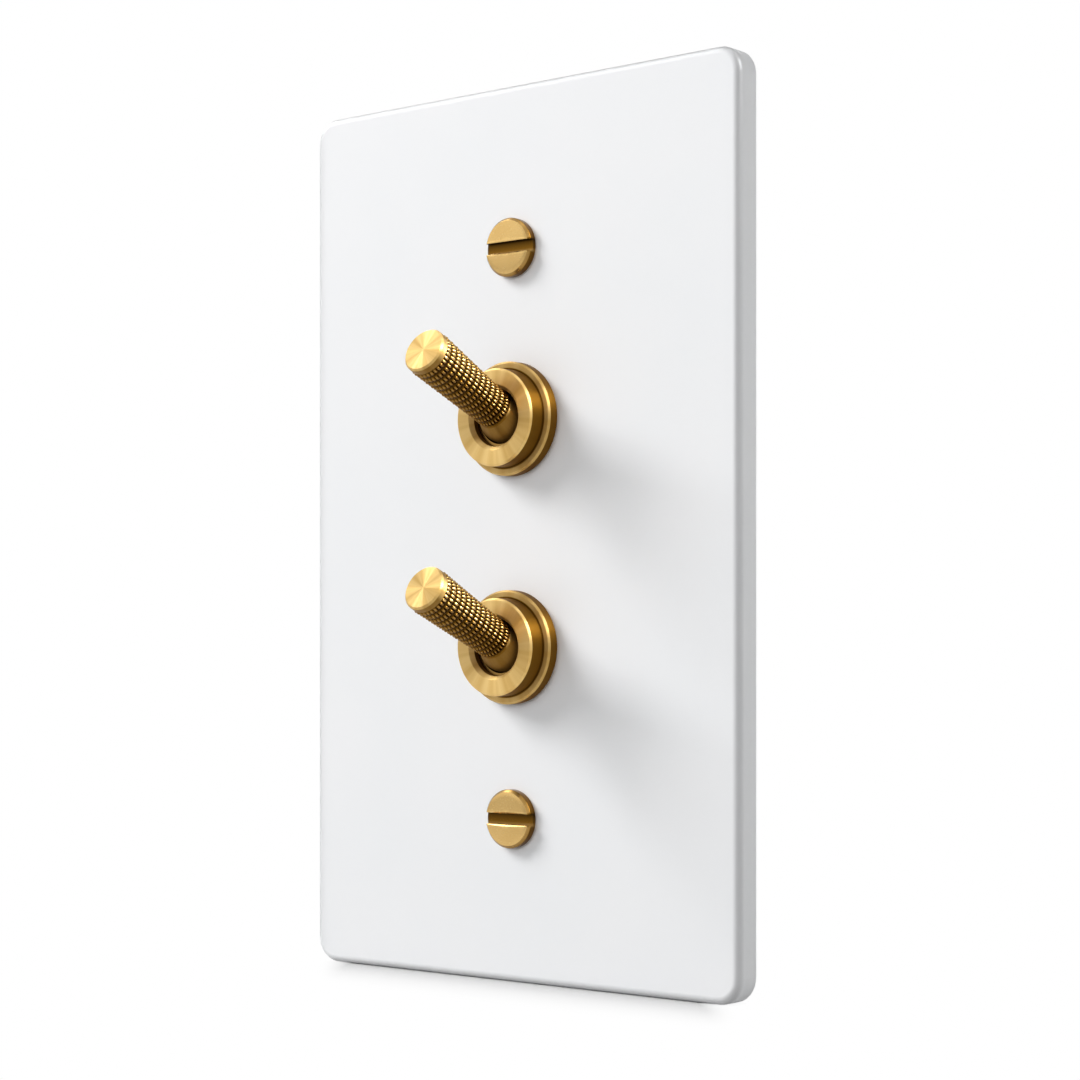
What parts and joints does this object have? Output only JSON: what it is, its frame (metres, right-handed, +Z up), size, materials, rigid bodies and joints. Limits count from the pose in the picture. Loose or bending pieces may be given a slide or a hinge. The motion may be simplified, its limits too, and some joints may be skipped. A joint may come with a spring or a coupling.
{
  "type": "toggle light switch",
  "caption": "Upright white wall plate with knurled brass toggle levers in stepped collars, slotted screws and snap-action switches behind, on a steel strap for a wall box.",
  "frame": {"origin": "middle of the two box screw holes, on the wall plane behind the strap and the plate's rim", "axes": "+Z up the plate, +X to the right as seen from the room, +Y into the wall"},
  "size_m": [0.0698, 0.0466, 0.1142],
  "materials": {
    "white_enamel": "satin",
    "brass": "polished",
    "zinc_steel": "zinc plated",
    "spring_steel": "drawn wire",
    "nylon": "moulded",
    "phenolic": "moulded",
    "copper": "rolled copper strip",
    "terminal_brass": "stamped strip"
  },
  "bodies": {
    "base": {"face_plate": "white_enamel", "mounting_strap": "zinc_steel", "plate_screws": "brass", "upper_collar": "brass", "upper_mounting_nut": "zinc_steel", "upper_bushing": "brass", "upper_pivot_pin": "zinc_steel", "upper_lock_washer": "zinc_steel", "upper_frame": "zinc_steel", "upper_switch_body": "phenolic", "upper_common_terminal": "terminal_brass", "upper_upper_terminal": "terminal_brass", "upper_lower_terminal": "terminal_brass", "upper_terminal_screws": "zinc_steel", "lower_collar": "brass", "lower_mounting_nut": "zinc_steel", "lower_bushing": "brass", "lower_pivot_pin": "zinc_steel", "lower_lock_washer": "zinc_steel", "lower_frame": "zinc_steel", "lower_switch_body": "phenolic", "lower_common_terminal": "terminal_brass", "lower_upper_terminal": "terminal_brass", "lower_lower_terminal": "terminal_brass", "lower_terminal_screws": "zinc_steel"},
    "upper_lever_body": {"upper_lever": "brass", "upper_plunger_spring": "spring_steel"},
    "upper_plunger_body": {"upper_plunger": "nylon"},
    "upper_rocker_body": {"upper_rocker": "nylon", "upper_contact_blade": "copper"},
    "lower_lever_body": {"lower_lever": "brass", "lower_plunger_spring": "spring_steel"},
    "lower_plunger_body": {"lower_plunger": "nylon"},
    "lower_rocker_body": {"lower_rocker": "nylon", "lower_contact_blade": "copper"}
  },
  "joints": [
    {"name": "upper_lever_throw", "type": "hinge", "parent": "base", "child": "upper_lever_body", "pos_m": [0, -0.00522, 0.0145], "axis": [1, 0, 0], "range_deg": [0, 51]},
    {"name": "upper_plunger_slide", "type": "slide", "parent": "upper_lever_body", "child": "upper_plunger_body", "axis": [0, -0.9026, 0.4305], "range_m": [0, 0.0008], "stiffness_N_per_m": 1000, "springref_m": -0.001, "deforming": ["upper_plunger_spring"]},
    {"name": "upper_rocker_tilt", "type": "hinge", "parent": "base", "child": "upper_rocker_body", "pos_m": [0, 0.00893, 0.0145], "axis": [1, 0, 0], "range_deg": [-20, 0]},
    {"name": "lower_lever_throw", "type": "hinge", "parent": "base", "child": "lower_lever_body", "pos_m": [0, -0.00522, -0.0145], "axis": [1, 0, 0], "range_deg": [0, 51]},
    {"name": "lower_plunger_slide", "type": "slide", "parent": "lower_lever_body", "child": "lower_plunger_body", "axis": [0, -0.9026, 0.4305], "range_m": [0, 0.0008], "stiffness_N_per_m": 1000, "springref_m": -0.001, "deforming": ["lower_plunger_spring"]},
    {"name": "lower_rocker_tilt", "type": "hinge", "parent": "base", "child": "lower_rocker_body", "pos_m": [0, 0.00893, -0.0145], "axis": [1, 0, 0], "range_deg": [-20, 0]}
  ],
  "couplings": [
    {"joint": "upper_rocker_tilt", "follows": "upper_lever_throw", "ratio": -0.39216},
    {"joint": "lower_rocker_tilt", "follows": "lower_lever_throw", "ratio": -0.39216}
  ]
}
